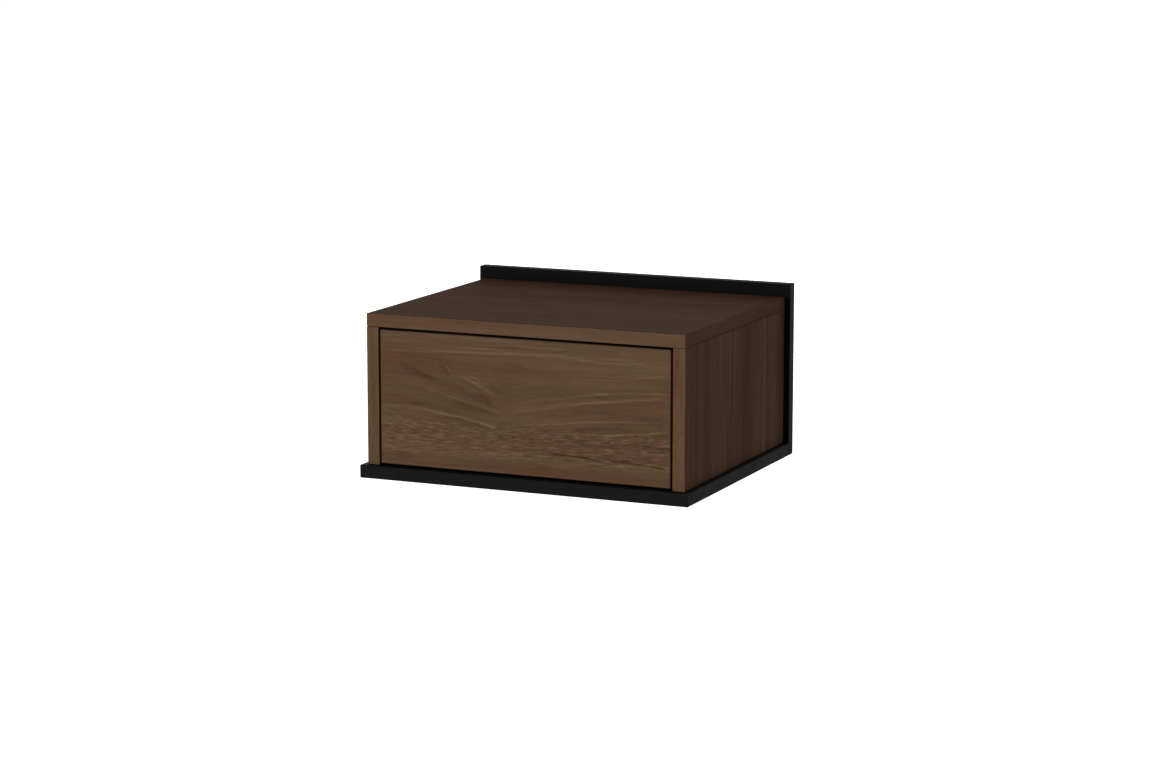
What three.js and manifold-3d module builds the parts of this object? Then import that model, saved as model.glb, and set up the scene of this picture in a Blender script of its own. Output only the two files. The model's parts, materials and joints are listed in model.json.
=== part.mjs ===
// A floating nightstand: a walnut case between a black base panel and a taller black back panel that
// hangs on the wall, with one push-to-open drawer on ball-bearing runners.
// Millimetres, +Z up, the front towards -Y, the origin in the middle of the back panel's rear face.

import * as THREE from "three";
import { mergeVertices, toCreasedNormals } from "three/addons/utils/BufferGeometryUtils.js";
import Module from "manifold-3d";

const wasm = await Module();
wasm.setup();

// Case panels
const bodyWidth = 416; // outside of the side panels
const bodyDepth = 332; // back panel to the front edges of the body
const clearHeight = 170; // base panel to top panel
const baseThickness = 16;
const backThickness = 16;
const sideThickness = 16;
const topThickness = 16;
const baseSideOverhang = 7;
const baseFrontOverhang = 8;
const backRise = 16; // back panel above the top panel
const edgeRound = 0.7; // rounding along a panel's edges
const cornerRound = 0.9; // rounding of a panel's four corners, a little over edgeRound
const seatGap = 0.3; // left between pieces that are fixed together
const overrun = 1; // how far a cut runs past the face that it opens
const weldTolerance = 1e-4;
const creaseAngle = Math.PI / 5;

// Drawer
const frontThickness = 16;
const frontSideGap = 2.5;
const frontTopGap = 3;
const frontBottomGap = 3;
const pushTravel = 2.5; // the front goes in this far to release the push latch
const boxThickness = 12;
const boxHeight = 115;
const boxLift = 13; // box's lower edge above the front's
const latchSpace = 65.7; // box's rear end to the back panel
const bottomThickness = 3;
const bottomLift = 10; // drawer bottom above the box's lower edge
const grooveDepth = 5;
const frontGrooveDepth = 6;

// Screws, each with its lengths measured from the top of its head
const caseScrew = {
  headRadius: 5,
  rim: 0.8,
  headDepth: 3.2,
  neckRadius: 3.5,
  neckLength: 12,
  coreRadius: 3.1,
  length: 50,
  tip: 4,
  socketRadius: 2.2,
  socketDepth: 2.4,
  sink: 0.4, // head below the panel's face
};
const boxScrew = {
  headRadius: 3.6,
  rim: 0.5,
  headDepth: 2.6,
  neckRadius: 2,
  neckLength: 14,
  coreRadius: 1.7,
  length: 38,
  tip: 3,
  socketRadius: 1.5,
  socketDepth: 1.4,
  sink: 0.3,
};
const hangerScrew = {
  headRadius: 3.8,
  rim: 0.3,
  headDepth: 1.8,
  neckRadius: 2.1,
  neckLength: 4,
  coreRadius: 1.7,
  length: 12,
  tip: 3,
  socketRadius: 1.4,
  socketDepth: 1.1,
  sink: 0,
};

// Cam connectors: a cam in a panel's face grips a bolt that comes out of the next panel
const caseCam = {
  camRadius: 7.2,
  camDepth: 12,
  reach: 24, // panel's edge to the cam's centre
  boltRadius: 3.5,
  boltNeckRadius: 2.2,
  boltHead: 3, // length of the bolt's head
  headReach: 2.6, // bolt's end past the cam's centre
  neckLength: 4,
  threadRadius: 2.5,
  threadDepth: 11,
  crossLength: 7,
  crossWidth: 1.5,
  recessShare: 0.45,
};
const boxCam = {
  camRadius: 6.2,
  camDepth: 9,
  reach: 22,
  boltRadius: 2.9,
  boltNeckRadius: 1.9,
  boltHead: 2.6,
  headReach: 2.2,
  neckLength: 3.4,
  threadRadius: 2.3,
  threadDepth: 11,
  crossLength: 6,
  crossWidth: 1.3,
  recessShare: 0.45,
};
const boltChamfer = 0.6;
const dowel = { radius: 4, length: 30, chamfer: 1, depth: 11 }; // depth in the cross-wise panel
const boxDowel = { radius: 3, length: 26, chamfer: 0.8, depth: 10 };

// Places of the fasteners
const caseJointInset = 60; // from the case's front and rear edges to its cams and base screws
const backScrewInset = 40; // from a side panel's ends to the back panel's screws
const backBaseScrewInset = 105; // from the back panel's ends to its screws into the base
const boxCamDrop = 20; // from the box's upper edge to its cams
const boxDowelLift = 28; // from the box's lower edge to its dowels
const boxScrewDrop = 14; // from the box's upper edge to the screws of the drawer back

// Keyhole hangers in the back panel's rear face
const hanger = {
  width: 32,
  height: 60,
  thickness: 2,
  corner: 5,
  inset: 0.2, // plate below the panel's rear face
  sideInset: 65, // from the back panel's ends to the keyholes
  drop: 50, // from the back panel's upper edge to a plate's centre
  entranceRadius: 5.5,
  slotRadius: 2.75,
  entranceDrop: 8, // from the plate's centre to the entrance
  slotLift: 7, // from the plate's centre to the top of the slot
  screwInset: 7.5, // from the plate's ends to its screws
  pocketWidth: 15,
  pocketMargin: 3.5, // pocket past the keyhole's ends
  pocketSkin: 4, // panel left in front of the pocket
};

// Ball-bearing runners of three nested rails
const runner = {
  height: 45.2,
  sheet: 1.2,
  ballRadius: 2,
  raceGap: 0.3, // ball to race
  cageSheet: 0.6,
  cageGap: 0.3, // cage to the rail beside it
  bend: 1.2, // of the sheet's middle line
  lipRoom: 0.68, // middle rail's lip to the drawer box's side of the runner
  frontRoom: 1, // rails to the drawer front when it is pushed in
  middleShorter: 25, // middle rail shorter than the others
  cageLength: 90,
  cageEnd: 8, // from a cage's end to its first ball
  outerCageDrop: 1.5, // cage's bend below its balls
  innerCageDrop: 2.6,
  cageTail: 0.9, // cage past its balls' centres
  holeRadius: 2.3,
  slotLength: 9,
  windowLength: 46,
  windowHeight: 12,
};
const ballsPerRow = 5;
const sRaceTurn = 30; // degrees, where the middle rail crosses from one race to the other
const underOuterBalls = -70; // degrees, where the middle rail's race under the outer balls begins
const straightDown = -90;
const cabinetLip = 25; // degrees above level where the cabinet rail's lip ends
const middleLip = 20;
const drawerRaceTurn = 30; // degrees each way that the drawer rail's race wraps its balls
const cabinetHoleShares = [0.14, 0.5, 0.86];
const cabinetSlotShares = [0.26, 0.74];
const middleWindowShares = [0.3, 0.7];
const drawerHoleShares = [0.1, 0.9];
const drawerSlotShares = [0.2, 0.72];

// Release lever on each drawer rail
const lever = {
  pivotShare: 0.46, // of the rail's length
  gap: 0.3,
  thickness: 2.2,
  hubRadius: 5.5,
  armHalf: 2.6,
  padRadius: 5.6,
  padReach: 32,
  pinRadius: 2.5,
  pinGap: 0.3,
};

// Push latch behind the drawer
const latch = {
  plateWidth: 28,
  plateHeight: 40,
  plateThickness: 4,
  plateCorner: 4,
  screwSpread: 28, // one above the barrel and one below
  screwRadius: 2.1,
  barrelRadius: 7,
  footRadius: 9,
  footLength: 5,
  collarRadius: 7.8,
  collarLength: 4,
  boreGap: 0.3,
  boreFloor: 2.5,
  plungerRadius: 4,
  plungerRoom: 1, // behind the plunger when the drawer is shut
  plungerShow: 7.5, // plunger seen between the barrel and its tip
  stubRadius: 2.4,
  stubLength: 3,
  tipRadius: 5.2,
  tipLength: 5,
  tipChamfer: 0.8,
  strikeGap: 2.4, // tip to strike plate when the drawer is shut
  strikeWidth: 26,
  strikeHeight: 30,
  strikeThickness: 1.2,
  strikeCorner: 3,
  strikeScrewSpread: 20,
};
const gussetLength = 12;
const gussetThickness = 2;

// Facets
const screwSides = 8;
const smallSides = 10;
const camSides = 16;
const ballSides = 6;
const ballRings = 4;
const arcSteps = 5;
const bendSteps = 2;
const keyholeSteps = 4;

// Places worked out from the sizes, with z counted up from the base panel's underside
const overallWidth = bodyWidth + 2 * baseSideOverhang;
const bodyRear = -backThickness;
const bodyFront = bodyRear - bodyDepth;
const baseFront = bodyFront - baseFrontOverhang;
const innerHalf = bodyWidth / 2 - sideThickness;
const sideMiddle = bodyWidth / 2 - sideThickness / 2;
const topUnder = baseThickness + clearHeight;
const bodyTop = topUnder + topThickness;
const overallHeight = bodyTop + backRise;
const sideSpan = {
  x: [innerHalf, bodyWidth / 2],
  y: [bodyFront, bodyRear - seatGap],
  z: [baseThickness + seatGap, topUnder - seatGap],
};

const raceRadius = runner.ballRadius + runner.raceGap + runner.sheet / 2; // to the sheet's middle line
const outerBall = new THREE.Vector2(
  runner.sheet / 2 + raceRadius,
  runner.height / 2 - runner.sheet / 2 - raceRadius,
);
const innerBall = new THREE.Vector2(
  outerBall.x + 2 * raceRadius * Math.cos(THREE.MathUtils.degToRad(sRaceTurn)),
  outerBall.y - 2 * raceRadius * Math.sin(THREE.MathUtils.degToRad(sRaceTurn)),
);
const runnerThickness = innerBall.x + raceRadius + runner.sheet / 2 + runner.lipRoom;

const frontRear = bodyFront + frontThickness;
const frontUnder = baseThickness + frontBottomGap;
const boxOuter = innerHalf - 2 * seatGap - runnerThickness;
const boxInner = boxOuter - boxThickness;
const boxFront = frontRear + seatGap;
const boxRear = bodyRear - latchSpace;
const boxUnder = frontUnder + boxLift;
const boxTop = boxUnder + boxHeight;
const boxMiddle = (boxUnder + boxTop) / 2;
const bottomUnder = boxUnder + bottomLift;
const bottomTop = bottomUnder + bottomThickness;
const railFront = frontRear + pushTravel + runner.frontRoom;
const railLength = boxRear - boxFront;
const middleLength = railLength - runner.middleShorter;

const frontJointY = bodyFront + caseJointInset;
const rearJointY = bodyRear - caseJointInset;
const camHeight = sideSpan.z[1] - caseCam.reach;
const backScrewHeights = {
  lower: sideSpan.z[0] + backScrewInset,
  upper: sideSpan.z[1] - backScrewInset,
};
const boxCamHeight = boxTop - boxCamDrop;
const boxDowelHeight = boxUnder + boxDowelLift;
const boxScrewHeight = boxTop - boxScrewDrop;
const boxScrewY = boxRear - boxThickness / 2;
const hangerX = overallWidth / 2 - hanger.sideInset;
const hangerHeight = overallHeight - hanger.drop;
const hangerScrewReach = hanger.height / 2 - hanger.screwInset;

const RIGHT = [1, 0, 0];
const LEFT = [-1, 0, 0];
const FRONT = [0, -1, 0];
const REAR = [0, 1, 0];
const UP = [0, 0, 1];
const sides = { right: 1, left: -1 };

// Solids

function solidOf(geometry) {
  const bare = geometry.clone();
  for (const name of ["normal", "uv"]) bare.deleteAttribute(name);
  const merged = mergeVertices(bare, weldTolerance);
  return new wasm.Manifold(
    new wasm.Mesh({
      numProp: 3,
      vertProperties: new Float32Array(merged.getAttribute("position").array),
      triVerts: new Uint32Array(merged.index.array),
    }),
  );
}

// A body with other bodies joined to it and cuts taken out of it, as one geometry with crisp edges.
function carved(body, { joins = [], cuts = [] }) {
  let solid = solidOf(body);
  for (const join of joins) solid = solid.add(solidOf(join));
  for (const cut of cuts) solid = solid.subtract(solidOf(cut));
  const mesh = solid.getMesh();
  const geometry = new THREE.BufferGeometry();
  geometry.setAttribute("position", new THREE.BufferAttribute(mesh.vertProperties, 3));
  geometry.setIndex(new THREE.BufferAttribute(mesh.triVerts, 1));
  return toCreasedNormals(geometry, creaseAngle);
}

// Where something drawn about its own origin goes: its own X and Z axes turned to two directions.
function placed(origin, xAxis, zAxis) {
  const x = new THREE.Vector3(...xAxis);
  const z = new THREE.Vector3(...zAxis);
  return new THREE.Matrix4().makeBasis(x, z.clone().cross(x), z).setPosition(...origin);
}

const centred = (size) => [-size / 2, size / 2];

function block({ x, y, z }) {
  const size = (span) => span[1] - span[0];
  const middle = (span) => (span[0] + span[1]) / 2;
  const box = new THREE.BoxGeometry(size(x), size(y), size(z));
  return box.translate(middle(x), middle(y), middle(z));
}

function rod(axis, radius, [from, to], centre = {}, count = smallSides) {
  const cylinder = new THREE.CylinderGeometry(radius, radius, to - from, count);
  if (axis === "x") cylinder.rotateZ(-Math.PI / 2);
  if (axis === "z") cylinder.rotateX(Math.PI / 2);
  const middle = new THREE.Vector3(centre.x ?? 0, centre.y ?? 0, centre.z ?? 0);
  middle[axis] = (from + to) / 2;
  return cylinder.translate(...middle);
}

// A body of revolution about Z, from pairs of radius and height that start and end on the axis.
function turned(profile, count) {
  const points = profile.map(([radius, height]) => new THREE.Vector2(radius, height));
  return new THREE.LatheGeometry(points, count).rotateX(Math.PI / 2);
}

function roundedRectangle(width, height, radius) {
  const x = width / 2 - radius;
  const y = height / 2 - radius;
  const quarter = Math.PI / 2;
  const shape = new THREE.Shape();
  shape.absarc(x, y, radius, 0, quarter);
  shape.absarc(-x, y, radius, quarter, 2 * quarter);
  shape.absarc(-x, -y, radius, 2 * quarter, 3 * quarter);
  shape.absarc(x, -y, radius, 3 * quarter, 4 * quarter);
  return shape;
}

// A panel with all its edges rounded, in the given spans.
function panel({ x, y, z }) {
  const outline = roundedRectangle(x[1] - x[0], y[1] - y[0], cornerRound);
  const board = new THREE.ExtrudeGeometry(outline, {
    depth: z[1] - z[0] - 2 * edgeRound,
    curveSegments: 1,
    bevelThickness: edgeRound,
    bevelSize: edgeRound,
    bevelOffset: -edgeRound,
    bevelSegments: 2,
  });
  return board.translate((x[0] + x[1]) / 2, (y[0] + y[1]) / 2, z[0] + edgeRound);
}

function plate(outline, thickness, curveSegments = 2) {
  return new THREE.ExtrudeGeometry(outline, { depth: thickness, bevelEnabled: false, curveSegments });
}

// Fasteners, drawn along +Z

function screwProfile(screw, start, grow) {
  const head = screw.headRadius + grow;
  const neck = screw.neckRadius + grow;
  const core = screw.coreRadius + grow;
  return [
    [0, start],
    [head, start],
    [head, screw.rim],
    [neck, screw.headDepth],
    [neck, screw.neckLength + grow],
    [core, screw.neckLength + grow],
    [core, screw.length - screw.tip],
    [0, screw.length + grow],
  ];
}

function screwBody(screw) {
  const socket = rod("z", screw.socketRadius, [-overrun, screw.socketDepth], {}, 6);
  return carved(turned(screwProfile(screw, 0, 0), screwSides), { cuts: [socket] });
}

const screwHole = (screw) =>
  turned(screwProfile(screw, -screw.sink - overrun, seatGap), screwSides);

function dowelBody({ radius, length, chamfer }) {
  const profile = [
    [0, 0],
    [radius - chamfer, 0],
    [radius, chamfer],
    [radius, length - chamfer],
    [radius - chamfer, length],
    [0, length],
  ];
  return turned(profile, screwSides);
}

const dowelHole = ({ radius, length }) =>
  rod("z", radius + seatGap, [-seatGap, length + seatGap], {}, screwSides);

// A cam lies along +X from its panel's face, with its bolt coming in along Z at boltDepth.
function camBody(cam, boltDepth) {
  const slotHalf = cam.boltRadius + seatGap;
  const slotFloor = boltDepth - slotHalf;
  const recess = [-overrun, slotFloor * cam.recessShare];
  const cuts = [
    block({
      x: [slotFloor, cam.camDepth + overrun],
      y: centred(2 * slotHalf),
      z: [-cam.headReach - seatGap, cam.camRadius + overrun],
    }),
    block({ x: recess, y: centred(cam.crossLength), z: centred(cam.crossWidth) }),
    block({ x: recess, y: centred(cam.crossWidth), z: centred(cam.crossLength) }),
  ];
  return carved(rod("x", cam.camRadius, [0, cam.camDepth], {}, camSides), { cuts });
}

const camHole = (cam) =>
  rod("x", cam.camRadius + seatGap, [-overrun, cam.camDepth + seatGap], {}, camSides);

function boltBody(cam) {
  const headTop = cam.boltHead - cam.headReach;
  const neckTop = headTop + cam.neckLength;
  const end = cam.reach + seatGap + cam.threadDepth;
  const profile = [
    [0, -cam.headReach],
    [cam.boltRadius - boltChamfer, -cam.headReach],
    [cam.boltRadius, boltChamfer - cam.headReach],
    [cam.boltRadius, headTop],
    [cam.boltNeckRadius, headTop + boltChamfer],
    [cam.boltNeckRadius, neckTop],
    [cam.boltRadius, neckTop + boltChamfer],
    [cam.boltRadius, cam.reach],
    [cam.threadRadius, cam.reach],
    [cam.threadRadius, end],
    [0, end],
  ];
  return turned(profile, screwSides);
}

const boltBore = (cam) =>
  rod("z", cam.boltRadius + seatGap, [0, cam.reach + overrun], {}, screwSides);

// Starts at the far side of the joint's gap, so it is cut in the panel that the bolt is screwed into.
function threadHole(cam) {
  const span = [cam.reach, cam.reach + cam.threadDepth + 2 * seatGap];
  return rod("z", cam.threadRadius + seatGap, span, {}, screwSides);
}

// Materials

function finish(color, roughness, metalness = 0) {
  return new THREE.MeshStandardMaterial({ color, roughness, metalness });
}

const walnut = finish(0x5d4737, 0.55);
const blackLaminate = finish(0x1c1c1c, 0.6);
const linenBoard = finish(0x8f8578, 0.65);
const hardboard = finish(0x7b6a55, 0.7);
const zincSteel = finish(0xb4b6b8, 0.35, 1);
const zincAlloy = finish(0x9a9c9e, 0.45, 1);
const blackPlastic = finish(0x161616, 0.45);
const rubber = finish(0x202020, 0.9);
const beech = finish(0xc9a06f, 0.7);

// The assembly

const nightstand = new THREE.Group();
const assembly = new THREE.Group();
assembly.position.z = -overallHeight / 2;
nightstand.add(assembly);

const sideGroups = {};
for (const side in sides) {
  sideGroups[side] = new THREE.Group();
  sideGroups[side].scale.x = sides[side];
  assembly.add(sideGroups[side]);
}

function addPiece(group, name, geometry, material, place = new THREE.Matrix4()) {
  const mesh = new THREE.Mesh(geometry, material);
  mesh.name = name;
  mesh.applyMatrix4(place);
  group.add(mesh);
}

// One piece on the right and its mirror image on the left.
function addPair(name, geometry, material, place) {
  for (const side in sides) addPiece(sideGroups[side], `${side}_${name}`, geometry, material, place);
}

// The same cut at the same place on both sides of the middle.
function cutPair(tool, makePlace) {
  return Object.values(sides).map((side) => tool.clone().applyMatrix4(makePlace(side)));
}

// Case

function baseScrewPlace(side, y) {
  return placed([side * sideMiddle, y, caseScrew.sink], RIGHT, UP);
}

function backScrewPlace(side, z) {
  return placed([side * sideMiddle, -caseScrew.sink, z], RIGHT, FRONT);
}

function backBaseScrewPlace(side) {
  const x = side * (overallWidth / 2 - backBaseScrewInset);
  return placed([x, -caseScrew.sink, baseThickness / 2], RIGHT, FRONT);
}

function caseCamPlace(y) {
  return placed([innerHalf, y, camHeight], RIGHT, UP);
}

function caseBoltPlace(side, y) {
  return placed([side * sideMiddle, y, camHeight], RIGHT, UP);
}

const caseJoints = { front: frontJointY, rear: rearJointY };
const topDowelY = (bodyFront + bodyRear) / 2;

function topDowelPlace(side) {
  return placed([side * sideMiddle, topDowelY, topUnder + dowel.depth - dowel.length], RIGHT, UP);
}

function hangerPlace(side) {
  return placed([side * hangerX, 0, hangerHeight], RIGHT, FRONT);
}

function hangerScrewPlace(side, up) {
  const height = hangerHeight + up * hangerScrewReach;
  return placed([side * hangerX, -hanger.inset, height], RIGHT, FRONT);
}

function addBase() {
  const board = panel({
    x: centred(overallWidth),
    y: [baseFront, bodyRear - seatGap],
    z: [0, baseThickness],
  });
  const hole = screwHole(caseScrew);
  const cuts = [
    ...cutPair(hole, (side) => baseScrewPlace(side, frontJointY)),
    ...cutPair(hole, (side) => baseScrewPlace(side, rearJointY)),
    ...cutPair(hole, backBaseScrewPlace),
  ];
  addPiece(assembly, "base_panel", carved(board, { cuts }), blackLaminate);
}

// The hole that a wall screw's head enters, and the narrower slot above it that it drops into.
function keyhole() {
  const half = Math.asin(hanger.slotRadius / hanger.entranceRadius);
  const start = Math.PI / 2 + half;
  const end = 2.5 * Math.PI - half;
  const outline = new THREE.Shape();
  outline.absarc(0, hanger.slotLift, hanger.slotRadius, 0, Math.PI);
  outline.absarc(0, -hanger.entranceDrop, hanger.entranceRadius, start, end);
  return plate(outline, hanger.thickness + 2 * overrun, keyholeSteps);
}

function hangerPocket() {
  const low = -hanger.entranceDrop - hanger.entranceRadius - hanger.pocketMargin;
  const high = hanger.slotLift + hanger.slotRadius + hanger.pocketMargin;
  const outline = roundedRectangle(hanger.pocketWidth, high - low, hanger.pocketWidth / 2 - seatGap);
  const depth = backThickness - hanger.pocketSkin;
  return plate(outline, depth + overrun).translate(0, (low + high) / 2, -overrun);
}

function addBack() {
  const board = panel({ x: centred(overallWidth), y: [bodyRear, 0], z: [0, overallHeight] });
  const recessOutline = roundedRectangle(
    hanger.width + 2 * seatGap,
    hanger.height + 2 * seatGap,
    hanger.corner + seatGap,
  );
  const recessDepth = hanger.inset + hanger.thickness + seatGap;
  const recess = plate(recessOutline, recessDepth + overrun).translate(0, 0, -overrun);
  const hole = screwHole(caseScrew);
  const hangerHole = screwHole(hangerScrew);
  const cuts = [
    ...cutPair(hole, (side) => backScrewPlace(side, backScrewHeights.lower)),
    ...cutPair(hole, (side) => backScrewPlace(side, backScrewHeights.upper)),
    ...cutPair(hole, backBaseScrewPlace),
    ...cutPair(recess, hangerPlace),
    ...cutPair(hangerPocket(), hangerPlace),
    ...cutPair(hangerHole, (side) => hangerScrewPlace(side, 1)),
    ...cutPair(hangerHole, (side) => hangerScrewPlace(side, -1)),
  ];
  addPiece(assembly, "back_panel", carved(board, { cuts }), blackLaminate);
}

function addTop() {
  const board = panel({
    x: centred(bodyWidth),
    y: [bodyFront, bodyRear - seatGap],
    z: [topUnder, bodyTop],
  });
  const cuts = cutPair(dowelHole(dowel), topDowelPlace);
  for (const y of Object.values(caseJoints)) {
    cuts.push(...cutPair(threadHole(caseCam), (side) => caseBoltPlace(side, y)));
  }
  addPiece(assembly, "top_panel", carved(board, { cuts }), walnut);
}

function addSides() {
  const place = (tool, matrix) => tool.clone().applyMatrix4(matrix);
  const cuts = [place(dowelHole(dowel), topDowelPlace(1))];
  for (const y of Object.values(caseJoints)) {
    cuts.push(place(camHole(caseCam), caseCamPlace(y)));
    cuts.push(place(boltBore(caseCam), caseBoltPlace(1, y)));
    cuts.push(place(screwHole(caseScrew), baseScrewPlace(1, y)));
  }
  for (const z of Object.values(backScrewHeights)) {
    cuts.push(place(screwHole(caseScrew), backScrewPlace(1, z)));
  }
  addPair("side_panel", carved(panel(sideSpan), { cuts }), walnut);
}

function addCaseFasteners() {
  const cam = camBody(caseCam, sideThickness / 2);
  const bolt = boltBody(caseCam);
  const screw = screwBody(caseScrew);
  for (const [end, y] of Object.entries(caseJoints)) {
    addPair(`${end}_cam_lock`, cam, zincAlloy, caseCamPlace(y));
    addPair(`${end}_cam_bolt`, bolt, zincSteel, caseBoltPlace(1, y));
    addPair(`${end}_base_screw`, screw, zincSteel, baseScrewPlace(1, y));
  }
  for (const [level, z] of Object.entries(backScrewHeights)) {
    addPair(`${level}_back_screw`, screw, zincSteel, backScrewPlace(1, z));
  }
  addPair("back_base_screw", screw, zincSteel, backBaseScrewPlace(1));
  addPair("top_dowel", dowelBody(dowel), beech, topDowelPlace(1));
}

function addHangers() {
  const outline = roundedRectangle(hanger.width, hanger.height, hanger.corner);
  const sheet = plate(outline, hanger.thickness).translate(0, 0, hanger.inset);
  const cuts = [1, -1].map((up) =>
    screwHole(hangerScrew).translate(0, up * hangerScrewReach, hanger.inset),
  );
  cuts.push(keyhole().translate(0, 0, hanger.inset - overrun));
  addPair("hanger_plate", carved(sheet, { cuts }), zincSteel, hangerPlace(1));
  const screw = screwBody(hangerScrew);
  addPair("upper_hanger_screw", screw, zincSteel, hangerScrewPlace(1, 1));
  addPair("lower_hanger_screw", screw, zincSteel, hangerScrewPlace(1, -1));
}

// Drawer

function boxCamPlace() {
  return placed([boxOuter, boxFront + boxCam.reach, boxCamHeight], LEFT, FRONT);
}

function boxBoltPlace(side) {
  const x = side * (boxOuter - boxThickness / 2);
  return placed([x, boxFront + boxCam.reach, boxCamHeight], RIGHT, FRONT);
}

function boxDowelPlace(side) {
  const x = side * (boxOuter - boxThickness / 2);
  return placed([x, frontRear - boxDowel.depth + boxDowel.length, boxDowelHeight], RIGHT, FRONT);
}

function boxScrewPlace(side) {
  const inward = side > 0 ? LEFT : RIGHT;
  return placed([side * (boxOuter - boxScrew.sink), boxScrewY, boxScrewHeight], UP, inward);
}

const bottomGroove = {
  x: centred(2 * (boxInner + grooveDepth)),
  y: [frontRear - frontGrooveDepth, boxRear + overrun],
  z: [bottomUnder - seatGap, bottomTop + seatGap],
};

function addDrawerBoards() {
  const front = panel({
    x: centred(2 * (innerHalf - frontSideGap)),
    y: [bodyFront, frontRear],
    z: [frontUnder, topUnder - frontTopGap],
  });
  const frontCuts = [
    block(bottomGroove),
    ...cutPair(threadHole(boxCam), boxBoltPlace),
    ...cutPair(dowelHole(boxDowel), boxDowelPlace),
  ];
  addPiece(assembly, "drawer_front", carved(front, { cuts: frontCuts }), walnut);

  const side = panel({ x: [boxInner, boxOuter], y: [boxFront, boxRear], z: [boxUnder, boxTop] });
  const sideCuts = [
    block(bottomGroove),
    camHole(boxCam).applyMatrix4(boxCamPlace()),
    boltBore(boxCam).applyMatrix4(boxBoltPlace(1)),
    dowelHole(boxDowel).applyMatrix4(boxDowelPlace(1)),
    screwHole(boxScrew).applyMatrix4(boxScrewPlace(1)),
  ];
  addPair("drawer_side", carved(side, { cuts: sideCuts }), linenBoard);

  const rear = panel({
    x: centred(2 * (boxInner - seatGap)),
    y: [boxRear - boxThickness, boxRear],
    z: [bottomTop + seatGap, boxTop],
  });
  const rearCuts = cutPair(screwHole(boxScrew), boxScrewPlace);
  addPiece(assembly, "drawer_back", carved(rear, { cuts: rearCuts }), linenBoard);

  const bottom = block({
    x: centred(2 * (boxInner + grooveDepth - seatGap)),
    y: [frontRear - frontGrooveDepth + seatGap, boxRear - seatGap],
    z: [bottomUnder, bottomTop],
  });
  addPiece(assembly, "drawer_bottom", bottom, hardboard);
}

function addDrawerFasteners() {
  addPair("drawer_cam_lock", camBody(boxCam, boxThickness / 2), zincAlloy, boxCamPlace());
  addPair("drawer_cam_bolt", boltBody(boxCam), zincSteel, boxBoltPlace(1));
  addPair("drawer_dowel", dowelBody(boxDowel), beech, boxDowelPlace(1));
  addPair("drawer_back_screw", screwBody(boxScrew), zincSteel, boxScrewPlace(1));
}

// Runners, drawn with X from the case to the drawer, Y up and Z from the front end to the rear

const middleWeb = 1.5 * runner.sheet + 2 * runner.cageGap + runner.cageSheet;
const drawerWeb = runnerThickness - runner.sheet / 2;
const outerCageWeb = runner.sheet + runner.cageGap + runner.cageSheet / 2;
const innerCageWeb = middleWeb + runner.sheet / 2 + runner.cageGap + runner.cageSheet / 2;
const runnerPlace = placed([innerHalf - seatGap, railFront, boxMiddle], LEFT, REAR);

function arc(centre, radius, from, to, steps) {
  return Array.from({ length: steps + 1 }, (_, step) => {
    const angle = THREE.MathUtils.degToRad(from + ((to - from) * step) / steps);
    return new THREE.Vector2(
      centre.x + radius * Math.cos(angle),
      centre.y + radius * Math.sin(angle),
    );
  });
}

// A folded sheet's section: the middle line of its upper half, from the web out to the lip, is
// mirrored and given the sheet's thickness with mitred corners.
function foldedSheet(upperHalf, thickness, length) {
  const lowerHalf = upperHalf.map((point) => new THREE.Vector2(point.x, -point.y)).reverse();
  const line = [...lowerHalf, ...upperHalf];
  const last = line.length - 1;
  const near = [];
  const far = [];
  line.forEach((point, i) => {
    const into = line[Math.max(i, 1)].clone().sub(line[Math.max(i, 1) - 1]);
    const out = line[Math.min(i, last - 1) + 1].clone().sub(line[Math.min(i, last - 1)]);
    const across = new THREE.Vector2(-into.y, into.x).normalize();
    const next = new THREE.Vector2(-out.y, out.x).normalize();
    const mitre = across.clone().add(next).normalize();
    mitre.multiplyScalar(thickness / 2 / mitre.dot(across));
    near.push(point.clone().add(mitre));
    far.unshift(point.clone().sub(mitre));
  });
  return plate(new THREE.Shape([...near, ...far]), length);
}

function webHole(along) {
  return rod("x", runner.holeRadius, [-overrun, runnerThickness + overrun], { z: along }, smallSides);
}

function webSlot(along) {
  const reach = runner.slotLength / 2 - runner.holeRadius;
  const outline = new THREE.Shape();
  outline.absarc(reach, 0, runner.holeRadius, -Math.PI / 2, Math.PI / 2);
  outline.absarc(-reach, 0, runner.holeRadius, Math.PI / 2, 1.5 * Math.PI);
  const slot = plate(outline, runnerThickness + 2 * overrun);
  return slot.applyMatrix4(placed([runnerThickness + overrun, 0, along], UP, LEFT));
}

function webWindow(along) {
  const corner = runner.windowHeight / 2 - seatGap;
  const outline = roundedRectangle(runner.windowLength, runner.windowHeight, corner);
  const opening = plate(outline, runnerThickness + 2 * overrun);
  return opening.applyMatrix4(placed([runnerThickness + overrun, 0, along], UP, LEFT));
}

function cabinetRail() {
  const line = arc(outerBall, raceRadius, 180, cabinetLip, arcSteps);
  const cuts = [
    ...cabinetHoleShares.map((share) => webHole(share * railLength)),
    ...cabinetSlotShares.map((share) => webSlot(share * railLength)),
  ];
  return carved(foldedSheet(line, runner.sheet, railLength), { cuts });
}

function middleRail() {
  const corner = new THREE.Vector2(middleWeb + runner.bend, outerBall.y - raceRadius - runner.bend);
  const line = [
    ...arc(corner, runner.bend, 180, 90, bendSteps),
    ...arc(outerBall, raceRadius, underOuterBalls, -sRaceTurn, bendSteps),
    ...arc(innerBall, raceRadius, 180 - sRaceTurn, middleLip, arcSteps).slice(1),
  ];
  const cuts = middleWindowShares.map((share) => webWindow(share * middleLength));
  return carved(foldedSheet(line, runner.sheet, middleLength), { cuts });
}

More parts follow.
